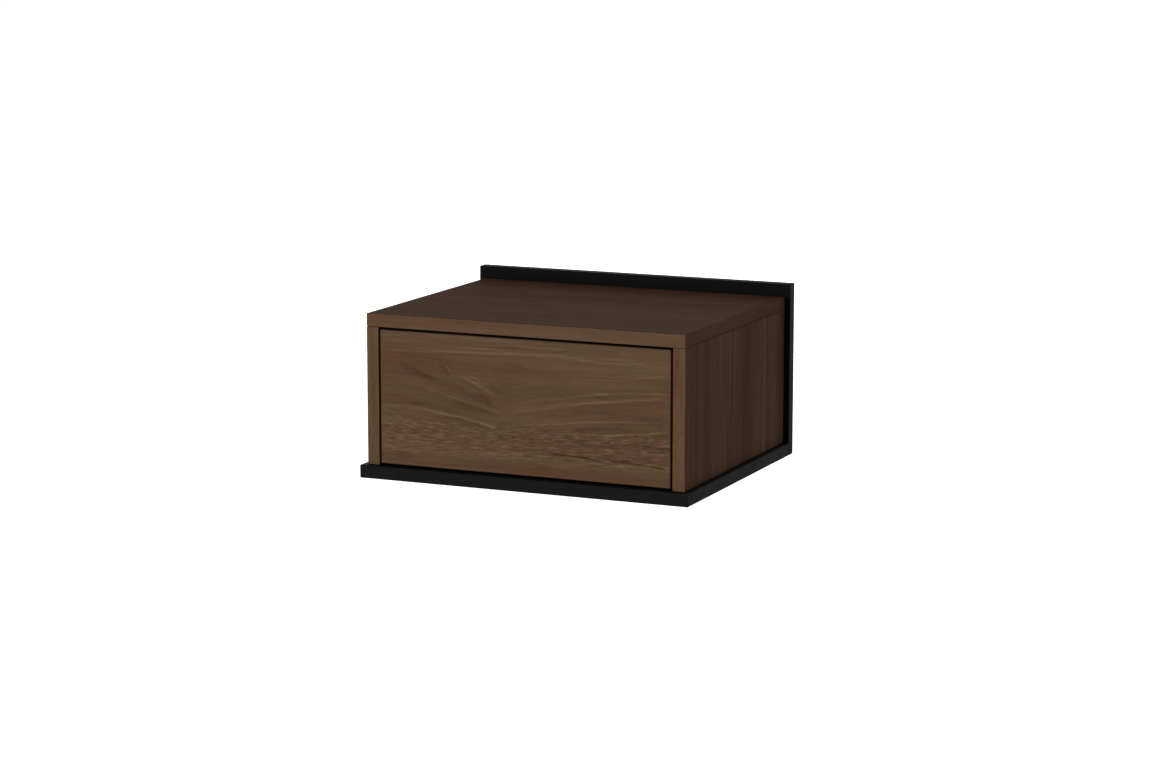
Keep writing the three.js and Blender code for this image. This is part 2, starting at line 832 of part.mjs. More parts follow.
function drawerRail() {
  const wrap = [straightDown + drawerRaceTurn, straightDown - drawerRaceTurn];
  const race = arc(innerBall, raceRadius, ...wrap, 2 * bendSteps);
  const corner = new THREE.Vector2(drawerWeb - runner.bend, race[0].y - runner.bend);
  const line = [...arc(corner, runner.bend, 0, 90, bendSteps), ...race];
  const pivot = rod(
    "x",
    lever.pinRadius + lever.pinGap,
    [drawerWeb - runner.sheet, drawerWeb + runner.sheet],
    { z: lever.pivotShare * railLength },
  );
  const cuts = [
    pivot,
    ...drawerHoleShares.map((share) => webHole(share * railLength)),
    ...drawerSlotShares.map((share) => webSlot(share * railLength)),
  ];
  return carved(foldedSheet(line, runner.sheet, railLength), { cuts });
}

// A cage's sheet runs through the centres of its balls, in one row above and one below.
function ballCage(web, ball, drop) {
  const foot = new THREE.Vector2(web, ball.y - drop);
  const outward = ball.clone().sub(foot).normalize();
  const line = [foot, ball.clone().addScaledVector(outward, runner.cageTail)];
  const pitch = (runner.cageLength - 2 * runner.cageEnd) / (ballsPerRow - 1);
  const joins = [];
  for (const y of [ball.y, -ball.y]) {
    for (let i = 0; i < ballsPerRow; i += 1) {
      const sphere = new THREE.SphereGeometry(runner.ballRadius, ballSides, ballRings);
      joins.push(sphere.translate(ball.x, y, runner.cageEnd + i * pitch));
    }
  }
  return carved(foldedSheet(line, runner.cageSheet, runner.cageLength), { joins });
}

// A hub on the pivot, an arm towards the drawer's front and a round finger pad at its end.
function releaseLever() {
  const hubTurn = Math.PI - Math.asin(lever.armHalf / lever.hubRadius);
  const padTurn = Math.asin(lever.armHalf / lever.padRadius);
  const outline = new THREE.Shape();
  outline.absarc(0, 0, lever.hubRadius, -hubTurn, hubTurn);
  outline.absarc(-lever.padReach, 0, lever.padRadius, padTurn, 2 * Math.PI - padTurn);
  const face = drawerWeb - runner.sheet / 2 - lever.gap;
  const arm = plate(outline, lever.thickness, arcSteps).applyMatrix4(placed([face, 0, 0], UP, LEFT));
  const pin = rod("x", lever.pinRadius, [face - lever.thickness / 2, drawerWeb]);
  return carved(arm, { joins: [pin] });
}

function runnerSpot(along) {
  return runnerPlace.clone().multiply(new THREE.Matrix4().makeTranslation(0, 0, along));
}

function addRunners() {
  addPair("cabinet_rail", cabinetRail(), zincSteel, runnerPlace);
  addPair("middle_rail", middleRail(), zincSteel, runnerPlace);
  addPair("drawer_rail", drawerRail(), zincSteel, runnerPlace);
  const outerCage = ballCage(outerCageWeb, outerBall, runner.outerCageDrop);
  addPair("outer_ball_cage", outerCage, zincAlloy, runnerSpot((middleLength - runner.cageLength) / 2));
  const innerCage = ballCage(innerCageWeb, innerBall, runner.innerCageDrop);
  addPair("inner_ball_cage", innerCage, zincAlloy, runnerSpot((railLength - runner.cageLength) / 2));
  addPair("release_lever", releaseLever(), blackPlastic, runnerSpot(lever.pivotShare * railLength));
}

// Push latch, drawn along +Z from the back panel's face towards the drawer

const latchPlace = placed([0, bodyRear, boxMiddle], RIGHT, FRONT);
const strikeRear = latchSpace - seatGap - latch.strikeThickness;
const tipEnd = strikeRear - latch.strikeGap;
const tipStart = tipEnd - latch.tipLength;
const barrelEnd = tipStart - latch.plungerShow;
const plateFront = seatGap + latch.plateThickness;

function latchHousing() {
  const outline = roundedRectangle(latch.plateWidth, latch.plateHeight, latch.plateCorner);
  const foot = plate(outline, latch.plateThickness).translate(0, 0, seatGap);
  const barrel = turned(
    [
      [0, seatGap],
      [latch.footRadius, seatGap],
      [latch.footRadius, plateFront],
      [latch.barrelRadius, plateFront + latch.footLength],
      [latch.barrelRadius, barrelEnd - latch.collarLength],
      [latch.collarRadius, barrelEnd - latch.collarLength],
      [latch.collarRadius, barrelEnd],
      [0, barrelEnd],
    ],
    camSides,
  );
  const rib = new THREE.Shape();
  rib.moveTo(0, 0);
  rib.lineTo((latch.plateWidth - latch.plateCorner) / 2, 0);
  rib.lineTo(latch.barrelRadius, gussetLength);
  rib.lineTo(0, gussetLength);
  const gussets = Object.values(sides).map((side) =>
    plate(rib, gussetThickness)
      .translate(0, 0, -gussetThickness / 2)
      .applyMatrix4(placed([0, 0, plateFront], [side, 0, 0], [0, -side, 0])),
  );
  const bore = rod(
    "z",
    latch.plungerRadius + latch.boreGap,
    [latch.boreFloor, barrelEnd + overrun],
    {},
    screwSides,
  );
  const screws = Object.values(sides).map((side) =>
    rod("z", latch.screwRadius, [-overrun, plateFront + overrun], {
      y: (side * latch.screwSpread) / 2,
    }),
  );
  return carved(foot, { joins: [barrel, ...gussets], cuts: [bore, ...screws] });
}

function addLatch() {
  addPiece(assembly, "push_latch_housing", latchHousing(), blackPlastic, latchPlace);

  const plunger = turned(
    [
      [0, latch.boreFloor + latch.plungerRoom],
      [latch.plungerRadius, latch.boreFloor + latch.plungerRoom],
      [latch.plungerRadius, tipStart - seatGap],
      [latch.stubRadius, tipStart - seatGap],
      [latch.stubRadius, tipStart + latch.stubLength],
      [0, tipStart + latch.stubLength],
    ],
    screwSides,
  );
  addPiece(assembly, "push_latch_plunger", plunger, zincSteel, latchPlace);

  const socket = latch.stubRadius + seatGap;
  const tip = turned(
    [
      [0, tipStart + latch.stubLength + seatGap],
      [socket, tipStart + latch.stubLength + seatGap],
      [socket, tipStart],
      [latch.tipRadius, tipStart],
      [latch.tipRadius, tipEnd - latch.tipChamfer],
      [latch.tipRadius - latch.tipChamfer, tipEnd],
      [0, tipEnd],
    ],
    screwSides,
  );
  addPiece(assembly, "push_latch_tip", tip, rubber, latchPlace);

  const outline = roundedRectangle(latch.strikeWidth, latch.strikeHeight, latch.strikeCorner);
  const strike = plate(outline, latch.strikeThickness).translate(0, 0, strikeRear);
  const cuts = Object.values(sides).map((side) =>
    rod("z", latch.screwRadius, [strikeRear - overrun, latchSpace + overrun], {
      y: (side * latch.strikeScrewSpread) / 2,
    }),
  );
  addPiece(assembly, "push_latch_strike", carved(strike, { cuts }), zincSteel, latchPlace);
}

addBase();
addBack();
addTop();
addSides();
addCaseFasteners();
addHangers();
addDrawerBoards();
addDrawerFasteners();
addRunners();
addLatch();

export default nightstand;
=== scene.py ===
"""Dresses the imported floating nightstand: laminates, metal, small fittings, floor, lamps and camera."""

import json
from math import cos, pi, radians, sin, sqrt, tan

import bmesh
import bpy
from mathutils import Matrix, Vector


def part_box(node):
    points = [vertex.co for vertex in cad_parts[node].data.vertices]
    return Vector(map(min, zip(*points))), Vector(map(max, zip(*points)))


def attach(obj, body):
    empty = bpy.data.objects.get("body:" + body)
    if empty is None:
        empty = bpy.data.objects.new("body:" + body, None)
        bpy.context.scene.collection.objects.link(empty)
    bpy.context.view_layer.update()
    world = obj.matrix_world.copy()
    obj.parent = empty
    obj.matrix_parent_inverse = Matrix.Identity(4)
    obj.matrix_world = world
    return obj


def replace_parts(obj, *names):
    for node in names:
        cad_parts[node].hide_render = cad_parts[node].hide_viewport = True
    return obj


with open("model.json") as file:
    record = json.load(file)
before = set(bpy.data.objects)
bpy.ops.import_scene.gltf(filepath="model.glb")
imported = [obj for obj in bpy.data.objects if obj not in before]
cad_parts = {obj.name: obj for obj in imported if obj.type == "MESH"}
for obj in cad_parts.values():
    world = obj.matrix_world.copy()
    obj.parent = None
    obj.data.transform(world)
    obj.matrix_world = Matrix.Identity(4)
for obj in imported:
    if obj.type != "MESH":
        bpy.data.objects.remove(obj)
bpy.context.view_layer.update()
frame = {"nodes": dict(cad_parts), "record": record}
nodes = frame["nodes"]

MM = 0.001
SIDES = {"right": 1, "left": -1}
RIGHT = Vector((1, 0, 0))
LEFT = Vector((-1, 0, 0))
FRONT = Vector((0, -1, 0))
REAR = Vector((0, 1, 0))
UP = Vector((0, 0, 1))

# Camera, as fitted to the photograph's edges
camera_azimuth = radians(23.88)
camera_elevation = radians(9.93)
camera_distance = 3.9
camera_aim = Vector((-0.0034, -0.184, -0.0058))
camera_lens = 98.7

# Light: an even surround, a low lamp in front, and a wide low one behind that lights the top and
# the sides past the back panel
ambient = 0.13
background = 1.0
floor_height = -0.62
floor_size = 60
floor_glow = 0.90
lamps = {  # azimuth and elevation, distance, width, height, power
    "key": (radians(-8), radians(2), 8.0, 2.0, 1.0, 470),
    "backdrop": (radians(180), radians(10.5), 8.0, 9.0, 3.0, 575),
}

# Colours, linear
white = (1.0, 1.0, 1.0)
floor_colour = (0.8, 0.8, 0.8)
walnut_dark = (0.061, 0.030, 0.0145)
walnut_middle = (0.1075, 0.0605, 0.0345)
walnut_light = (0.166, 0.104, 0.066)
walnut_red = (1.07, 0.95, 0.93)
walnut_olive = (0.93, 0.99, 0.96)
black_colour = (0.0088, 0.0088, 0.0089)
black_fleck = (0.0130, 0.0130, 0.0131)
linen_dark = (0.270, 0.240, 0.203)
linen_light = (0.440, 0.402, 0.350)
hardboard_dark = (0.120, 0.077, 0.045)
hardboard_light = (0.215, 0.148, 0.092)
zinc_dark = (0.40, 0.41, 0.43)
zinc_light = (0.66, 0.67, 0.69)
alloy_dark = (0.28, 0.285, 0.295)
alloy_light = (0.45, 0.455, 0.465)
plastic_colour = (0.014, 0.014, 0.015)
rubber_colour = (0.018, 0.018, 0.018)
beech_dark = (0.36, 0.22, 0.115)
beech_light = (0.60, 0.42, 0.25)

# Surfaces: the full depth of a material's relief, and its specular level
surfaces = {
    "walnut": (0.015 * MM, 0.007),
    "black": (0.01 * MM, 0.01),
    "linen": (0.04 * MM, 0.25),
    "hardboard": (0.03 * MM, 0.2),
    "moulded": (0.03 * MM, 0.4),
    "beech": (0.04 * MM, 0.3),
}
zinc_relief = 0.012 * MM
alloy_relief = 0.04 * MM

# Textures: grains to the metre along X, Y and Z, then the noise's detail
textures = {
    "black grains": (1500, 1500, 1500, 2),
    "black clouds": (22, 22, 22, 3),
    "hardboard fibres": (900, 700, 900, 3),
    "zinc lines": (900, 14, 1900, 2),
    "zinc clouds": (60, 45, 60, 3),
    "alloy skin": (500, 500, 500, 3),
    "plastic skin": (1400, 1400, 1400, 2),
    "rubber skin": (900, 900, 900, 2),
    "wear": (70, 70, 70, 3),
    "beech fibres": (700, 700, 40, 2),
    "beech flecks": (400, 400, 90, 1),
}
# Cells to the metre along X, Y and Z
cell_textures = {
    "hardboard specks": (420, 300, 420),
    "zinc spangle": (260, 190, 260),
    "alloy pits": (380, 380, 380),
}
noise_mean = 0.5

# How squarely a face looks along an axis where it starts to count, and where it counts in full
square_on = (0.6, 0.8)


# Shader nodes

class Field:
    """A number that varies over a surface, from an output of a shader node, with arithmetic."""

    def __init__(self, graph, socket):
        self.graph = graph
        self.socket = socket

    def __add__(self, other):
        return self.graph.math("ADD", self, other)

    def __radd__(self, other):
        return self.graph.math("ADD", other, self)

    def __sub__(self, other):
        return self.graph.math("SUBTRACT", self, other)

    def __rsub__(self, other):
        return self.graph.math("SUBTRACT", other, self)

    def __mul__(self, other):
        return self.graph.math("MULTIPLY", self, other)

    def __rmul__(self, other):
        return self.graph.math("MULTIPLY", other, self)

    def __truediv__(self, other):
        return self.graph.math("DIVIDE", self, other)

    def __neg__(self):
        return self.graph.math("MULTIPLY", self, -1.0)

    def __abs__(self):
        return self.graph.math("ABSOLUTE", self)


class Graph:
    """The nodes of a material or world, made by short calls. Inputs take fields, numbers or colours."""

    def __init__(self, owner):
        owner.use_nodes = True
        self.owner = owner
        self.tree = owner.node_tree
        self.tree.nodes.clear()
        self.known = {}

    def node(self, kind, inputs=None, **settings):
        made = self.tree.nodes.new("ShaderNode" + kind)
        for key, value in settings.items():
            setattr(made, key, value)
        for key, value in (inputs or {}).items():
            self.feed(made.inputs[key], value)
        return made

    def feed(self, socket, value):
        if isinstance(value, Field):
            self.tree.links.new(value.socket, socket)
        elif isinstance(value, bpy.types.NodeSocket):
            self.tree.links.new(value, socket)
        elif isinstance(value, tuple) and socket.type == "RGBA":
            socket.default_value = (*value, 1.0)
        else:
            socket.default_value = value

    def math(self, operation, a, b=0.0, c=0.0, clamp=False):
        made = self.node("Math", {0: a, 1: b, 2: c}, operation=operation, use_clamp=clamp)
        return Field(self, made.outputs[0])

    def coordinates(self, kind):
        if kind not in self.known:
            source = self.node("TexCoord").outputs[kind]
            parts = self.node("SeparateXYZ", {0: source}).outputs
            self.known[kind] = [Field(self, part) for part in parts]
        return self.known[kind]

    def at(self):
        """The place on the surface as three fields, in metres, at rest."""
        return self.coordinates("Object")

    def facing(self):
        """How far the surface faces along X, Y and Z, from -1 to 1."""
        return self.coordinates("Normal")

    def on_ends(self):
        """1 on the faces to the left and right, and 0 on the others."""
        return self.rise(abs(self.facing()[0]), *square_on)

    def on_front(self):
        """1 on the faces to the front, and 0 on the others."""
        return self.rise(-self.facing()[1], *square_on)

    def noise(self, x, y, z, detail=1, roughness=0.5):
        vector = self.node("CombineXYZ", {0: x, 1: y, 2: z}).outputs[0]
        inputs = {"Vector": vector, "Scale": 1.0, "Detail": detail, "Roughness": roughness}
        return Field(self, self.node("TexNoise", inputs).outputs[0])

    def texture(self, name):
        """Noise over the surface, as the table of textures has it."""
        x, y, z = self.at()
        across, deep, up, detail = textures[name]
        return self.noise(x * across, y * deep, z * up, detail)

    def cells(self, name):
        """The distance from the middle of each cell, as the table of cells has them."""
        scaled = [place * count for place, count in zip(self.at(), cell_textures[name])]
        vector = self.node("CombineXYZ", dict(enumerate(scaled))).outputs[0]
        inputs = {"Vector": vector, "Scale": 1.0, "Randomness": 1.0}
        return Field(self, self.node("TexVoronoi", inputs).outputs["Distance"])

    def rise(self, value, low, high):
        """0 below low, 1 above high, and smooth between."""
        inputs = {"Value": value, "From Min": low, "From Max": high}
        made = self.node("MapRange", inputs, interpolation_type="SMOOTHSTEP")
        return Field(self, made.outputs[0])

    def fade(self, value):
        """1 at zero, falling towards 0 as the value grows."""
        return self.math("EXPONENT", -value)

    def hump(self, value, centre, width):
        """1 at the centre, falling to nothing over a few widths on both sides."""
        off = (value - centre) / width
        return self.fade(off * off)

    def pick(self, factor, a, b):
        """a where the factor is 0 and b where it is 1."""
        return a + (b - a) * factor

    def ramp(self, factor, *colours):
        made = self.node("ValToRGB", {0: factor})
        stops = made.color_ramp.elements
        for i, colour in enumerate(colours):
            share = i / (len(colours) - 1)
            stop = stops[i] if i < 2 else stops.new(share)
            stop.position = share
            stop.color = (*colour, 1.0)
        return made.outputs[0]

    def blend(self, factor, a, b, mode="MIX"):
        made = self.node("Mix", data_type="RGBA", blend_type=mode, clamp_factor=True)
        for key, value in ((0, factor), (6, a), (7, b)):
            self.feed(made.inputs[key], value)
        return made.outputs[2]

    def tint(self, factor, colour, shade):
        """The colour times a shade, as far as the factor says."""
        return self.blend(factor, colour, self.blend(1.0, colour, shade, "MULTIPLY"))

    def finish(self, colour, roughness, height, relief, **fixed):
        """Joins up the surface: relief is the height's full depth in metres."""
        bump = {"Height": height, "Distance": relief, "Strength": 1.0}
        inputs = {"Base Color": colour, "Roughness": roughness}
        inputs["Normal"] = self.node("Bump", bump).outputs[0]
        for key, value in fixed.items():
            inputs[key.replace("_", " ").title().replace("Ior", "IOR")] = value
        shader = self.node("BsdfPrincipled", inputs)
        self.node("OutputMaterial", {"Surface": shader.outputs[0]})
        return self.owner

    def finish_as(self, surface, colour, roughness, height):
        """Joins up a surface that isn't metal, as the table of surfaces has it."""
        relief, gloss = surfaces[surface]
        return self.finish(colour, roughness, height, relief, specular_ior_level=gloss)


def new_graph(name):
    return Graph(bpy.data.materials.new(name))


# Walnut laminate

# Places in the noise, so that no pattern repeats another
seeds = {
    "right": 11.0,
    "left": 27.0,
    "top": 4.2,
    "drawer front": 19.4,
    "dashes": 31.0,
    "ticks": 47.0,
    "waver": 2.0,
    "breaks": 6.0,
}
# Layers of the grain: cells to the metre along and across it, place in the noise, detail, roughness
grain_layers = {
    "broad": (2.0, 17, 0.0, 2, 0.5),
    "bands": (4.0, 85, 3.7, 3, 0.6),
    "streaks": (10, 340, 9.1, 2, 0.5),
    "fibres": (40, 1300, 5.3, 1, 0.5),
    "pores": (75, 820, 1.9, 1, 0.5),
    "patches": (5.0, 26, 7.7, 1, 0.5),
    "redness": (2.6, 30, 13.0, 2, 0.5),
}
grain_weights = {"broad": 0.26, "bands": 0.34, "streaks": 0.34, "fibres": 0.24}
grain_heights = {"streaks": 0.5, "fibres": 0.4}
depth_cells = 40  # to the metre, from face to face through the board
wander_cells = (3.2, 8)  # to the metre, along and across the grain
wander_reach = 16 * MM
pore_noise = (0.60, 0.74)
patch_noise = (0.40, 0.62)
pore_tone = 0.04
patch_tone = 0.14  # what pores add where they are dense
mean_tone = 0.46
red_noise = (0.50, 0.78)
olive_noise = (0.50, 0.24)
walnut_roughness = (0.66, 0.56)  # of the darkest and the lightest tone
band_thickness = 0.8 * MM  # edge band
joint_fade = (0.09 * MM, 0.198 * MM)  # from the middle of the joint between an edge band and a face
joint_tone = 0.5

# Mean tone and contrast of each kind of face
face_tones = {
    "side face": (0.525, 1.5),
    "right edge": (0.56, 1.35),
    "left edge": (0.47, 1.35),
    "top face": (0.43, 1.35),
    "top edge": (0.52, 1.2),
    "drawer front": (mean_tone, 1.12),
}


def walnut_grain(graph, along, across, depth, seed):
    """The laminate's tone, redness and height, from lengths in metres along and across its grain."""
    cells_along, cells_across = wander_cells
    wander = graph.noise(
        along * cells_along, across * cells_across, depth * cells_across + seed, detail=2,
    )
    across = across + (wander - noise_mean) * wander_reach
    through = depth * depth_cells + seed

    def layer(name):
        cells_along, cells_across, place, detail, roughness = grain_layers[name]
        return graph.noise(
            along * cells_along, across * cells_across, through + place, detail, roughness,
        )

    swings = {name: layer(name) - noise_mean for name in grain_weights}
    pores = graph.rise(layer("pores"), *pore_noise)
    patches = graph.rise(layer("patches"), *patch_noise)
    tone = mean_tone - pores * (pore_tone + patches * patch_tone)
    for name, weight in grain_weights.items():
        tone = tone + swings[name] * weight
    height = -pores
    for name, weight in grain_heights.items():
        height = height + swings[name] * weight
    return tone, layer("redness"), height


def toned(tone, kind):
    """The grain's tone with the mean and contrast of a kind of face."""
    middle, contrast = face_tones[kind]
    return middle + (tone - mean_tone) * contrast


def laminate_finish(graph, tone, redness, height):
    colour = graph.ramp(tone, walnut_dark, walnut_middle, walnut_light)
    red = graph.rise(redness, *red_noise)
    olive = graph.rise(redness, *olive_noise)
    colour = graph.tint(olive, graph.tint(red, colour, walnut_red), walnut_olive)
    return graph.finish_as("walnut", colour, graph.pick(tone, *walnut_roughness), height)


def seam(graph, place, edge):
    """1 on the hairline where an edge band meets the face beside it."""
    return 1.0 - graph.rise(abs(place - edge), *joint_fade)


patch_fade = (1.6, 0.0)  # squared distance of a patch's rim and core from its middle, in half widths


def patch(graph, x, z, middle_x, middle_z, half_width, half_height, amount):
    """A soft-edged oval area of a face, in millimetres."""
    across = (x - middle_x * MM) / (half_width * MM)
    up = (z - middle_z * MM) / (half_height * MM)
    return graph.rise(across * across + up * up, *patch_fade) * amount


# Upright marks of the side panels: place and half width as shares of the depth, then the tone
side_mark_shares = (
    (0.615, 0.055, -0.22),
    (0.560, 0.010, -0.10),
    (0.455, 0.007, -0.26),
    (0.415, 0.006, -0.14),
    (0.105, 0.012, -0.14),
    (0.150, 0.020, 0.12),
    (0.200, 0.012, -0.08),
    (0.330, 0.050, 0.09),
    (0.435, 0.006, 0.12),
    (0.475, 0.008, 0.16),
    (0.530, 0.008, -0.12),
    (0.785, 0.010, 0.22),
    (0.815, 0.007, -0.16),
    (0.740, 0.020, 0.08),
    (0.940, 0.015, -0.12),
)
side_drift_cells = (9, 3)  # to the metre upward and rearward: how the marks stray from upright
side_drift_share = 0.02
side_slant = 0.4  # how far the figure moves rearward from one face of the board to the other
edge_offset = 1.7  # metres in the noise from the faces' figure to the front edge's own
edge_tints = {"right": 0.06, "left": -0.15}  # redness that the front edge gains


def side_panel_walnut(side):
    """Upright grain on the faces, with a band of its own along the front edge."""
    graph = new_graph(f"walnut_{side}_side")
    low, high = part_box(f"{side}_side_panel")
    x, y, z = graph.at()
    front = graph.on_front()
    seed = seeds[side]
    across = y + x * side_slant + front * edge_offset
    tone, redness, height = walnut_grain(graph, z, across, x * front, seed)
    cells_up, cells_deep = side_drift_cells
    drift = graph.noise(z * cells_up, y * cells_deep, seed) - noise_mean
    share = (y - low[1]) / (high[1] - low[1]) + drift * side_drift_share
    marks = 0.0
    for place, half, strength in side_mark_shares:
        marks = marks + graph.hump(share, place, half) * strength
    tone = graph.pick(front, toned(tone, "side face") + marks, toned(tone, f"{side} edge"))
    line = seam(graph, y, low[1] + band_thickness) * (1.0 - front)
    redness = redness + front * edge_tints[side]
    return laminate_finish(graph, tone - line * joint_tone, redness, height - line)


# Darker and lighter areas of the top panel, in millimetres: x and y of the middle, half width and
# half depth, then the tone. Those 600 mm wide reach from side to side: the darker one at the rear is
# painted shade from the back panel, and the lighter one at the front is a painted sheen
top_marks_and_painted_shading = (
    (-64, -178, 16, 12, -0.14),
    (-52, -205, 10, 10, -0.08),
    (0, -272, 14, 9, -0.14),
    (24, -318, 12, 6, -0.10),
    (-120, -300, 46, 18, 0.06),
    (90, -190, 70, 30, 0.04),
    # painted shade, darker towards the back panel
    (0, -95, 600, 80, -0.12),
    # painted sheen, lighter along the front
    (0, -334, 600, 10, 0.06),
)
top_through = 0.2  # how far the noise moves through the board, of its thickness
top_edge_offset = 0.9  # metres in the noise from the top face's figure to the front edge's own
top_end_tone = 0.09
top_redness = 0.05
top_edge_redness = -0.03


def top_panel_walnut():
    """Grain from side to side, and along the edge on the two ends."""
    graph = new_graph("walnut_top")
    low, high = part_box("top_panel")
    x, y, z = graph.at()
    end = graph.on_ends()
    front = graph.on_front()
    along = graph.pick(end, x, y)
    across = graph.pick(end, y, z) + front * (z + top_edge_offset)
    tone, redness, height = walnut_grain(graph, along, across, z * top_through, seeds["top"])
    line = seam(graph, y, low[1] + band_thickness) * (1.0 - front)
    line = (line + seam(graph, abs(x), high[0] - band_thickness)) * (1.0 - end)
    upper = toned(tone, "top face") + end * top_end_tone
    # Grain marks, and painted shade and sheen in bands across the whole width
    for area in top_marks_and_painted_shading:
        upper = upper + patch(graph, x, y, *area)
    tone = graph.pick(front, upper, toned(tone, "top edge"))
    redness = redness + (1.0 - end) * top_redness + front * top_edge_redness
    return laminate_finish(graph, tone - line * joint_tone, redness, height - line)


# The drawer front's own figure: the grain falls to a V left of the middle and rises again, with pale
# strokes along it, dark bands between them, fine flecks below, and a dark check with a knot at the
# lower right
apex_x = -26 * MM
apex_z = -8 * MM
apex_half = 4 * MM
fall_reach = 120 * MM
left_fall = 30 * MM
right_fall = 36 * MM
figure_half = 34 * MM
stroke_softness = 2.1
stroke_tip = 14 * MM
tip_share = 0.4  # of a short stroke's length, at most
shadow_share = 0.32  # a pale stroke's shadow below it, of its own strength
shadow_drop = 1.5  # in reaches of the stroke
shadow_half = 1.3
stroke_tones = (0.34, 1.20)  # a stroke's strength where the grain breaks it and where it doesn't
waver_cells = 30  # to the metre
waver_reach = 2.4 * MM
break_cells = (45, 900)  # to the metre, along and across
break_noise = (0.28, 0.66)
# Strokes in millimetres: x and z from, x and z to, half width and sag, then the tone
figure_strokes = (
    (-107, 43, -94, 27, 1.0, 0, 0.42),
    (-84, 27, -35, 4.0, 1.6, 0, 0.30),
    (-80, 31, -45, 14, 1.0, 0, 0.14),
    (-136, 8, -26, -18, 1.4, 0.8, 0.24),
    (-100, 4, -46, -9, 1.0, 0.4, 0.18),
    (-158, -16.5, -31, -35.5, 1.3, 1.4, 0.24),
    (-84, -25, -31, -37.5, 0.9, 0.3, 0.20),
    (-187, -18.5, -148, -16.5, 0.9, 0, 0.24),
    (-124, -21, -60, -27, 0.7, 0, 0.18),
    (-70, -27, -32, -34, 1.0, 0, 0.26),
    (-26, -18, 186, 16, 1.5, 3.7, 0.28),
    (34, 3, 116, 17, 1.0, 1.4, 0.26),
    (88, 14, 186, 22, 0.9, 1.2, 0.22),
    (60, 0, 130, 9, 0.7, 0.8, 0.14),
    (138, 36, 187, 42, 1.0, 0.5, 0.26),
    (-6, -32, 62, -22.5, 1.0, 0.6, 0.20),
    (50, -23, 186, -12.5, 0.9, 1.2, 0.26),
    (38, -36.5, 120, -33, 0.8, 0.6, 0.22),
    (96, -34, 187, -23.5, 1.0, -1.2, 0.30),
    (-188, 49.5, -146, 51, 0.9, 0, 0.20),
    (-186, 45, -150, 46, 0.7, 0, 0.14),
    (-152, 50.5, -27, 55, 1.1, 0.4, 0.26),
    (-34, 54.7, 62, 57, 1.1, 1.0, 0.24),
    (52, 57, 100, 53, 1.0, 0, 0.20),
    (94, 53, 162, 55.5, 1.0, -0.6, 0.20),
    (-72, 63.5, 62, 65.5, 0.9, 0.5, 0.18),
    (-168, 35, -34, -7, 4.0, -2.6, -0.21),
    (-62, 6, -38, -5.5, 2.0, 0, -0.22),
    (-150, 32, -118, 17, 1.4, 0, -0.16),
    (-102, -6.5, -38, -14.5, 2.4, 0, -0.12),
    (-158, -10.5, -116, -12, 1.6, 0, -0.20),
    (-182, -3, -140, -8, 1.0, 0, -0.12),
    (58, -8, 187, -11, 2.6, 1, -0.16),
    (10, -6, 82, 13, 2.0, 1.4, -0.14),
    (84, 9, 164, 12.5, 1.4, 1, -0.14),
    (60, -29, 140, -25, 1.8, 1, -0.12),
    (-22, 43, 10, 39, 2.6, 0, -0.14),
    (-22, 24, 6, 20, 2.2, 0, -0.10),
    (-46, 16, -26, 5, 3.0, 0, -0.10),
    (-96, 69.5, -79, 70.5, 0.9, 0, -0.24),
    (84, 66, 132, 67, 1.2, 0, -0.18),
    (-28, 63, 2, 63.5, 1.0, 0, -0.14),
    (14, 68, 74, 68.5, 1.2, 0, -0.12),
    (-86, 58.5, -36, 60.5, 1.0, 0, 0.22),
    (-186, 62, -118, 63, 1.2, 0, 0.10),
    (92, 57.5, 152, 58, 1.0, 0, 0.20),
    (-4, 53, 84, 50, 1.2, 0, -0.12),
    (22, 72, 42, 71.5, 0.9, 0, -0.20),
    (-112, 42.5, -106.5, 41, 1.0, 0, -0.34),
    (-174, -80, -138, -79, 3.6, 0, -0.14),
    (10, -78, 40, -77.5, 4.0, 0, -0.14),
    (28, -59.3, 112, -64, 0.9, -0.5, -0.80),
    (104, -63.6, 188, -68.5, 0.9, 1.3, -0.85),
    (72, -60.5, 82, -62, 0.9, 0, -0.30),
    (126, -62.4, 142, -63.4, 1.3, 0, -1.00),
)
# Lighter and darker areas, and redder ones, in millimetres: x and z of the middle, half width and
# half height, then the amount. Those 600 mm wide are bands from side to side
shades = (
    (70, 42, 160, 26, 0.08),
    (-150, 12, 62, 34, -0.07),
    (-24, 20, 16, 40, -0.04),
    (-76, -17, 42, 12, -0.07),
    (-12, 40, 14, 8, -0.06),
    (-102, 33, 9, 9, -0.10),
    (46, 26, 16, 7, -0.04),
    (96, 34, 44, 10, 0.03),
    (0, 75, 600, 7, 0.07),
    (0, 62, 600, 10, 0.05),
    (0, 51, 600, 6, 0.03),
    (0, 35, 600, 9, -0.06),
    (0, -15.5, 600, 3.5, -0.05),
    (0, -22, 600, 5, 0.06),
    (0, -38, 600, 4, 0.05),
    (0, -46, 600, 4.5, -0.10),
    (0, -67, 600, 5, 0.12),
    (0, -81, 600, 6.5, -0.13),
)
blushes = (
    (-165, 14, 55, 34, 0.09),
    (-150, 50, 40, 12, -0.06),
    (-70, 64, 24, 7, -0.12),
    (-175, -30, 30, 16, -0.10),
    (-110, -56, 100, 12, 0.07),
    (10, -48, 26, 9, 0.12),
    (100, -58, 76, 7, 0.15),
    (-90, -76, 26, 6, -0.12),
    (-140, -80, 40, 6, 0.12),
    (40, -80, 50, 7, 0.12),
    (160, -14, 40, 6, 0.10),
    (60, 34, 110, 34, -0.05),
)
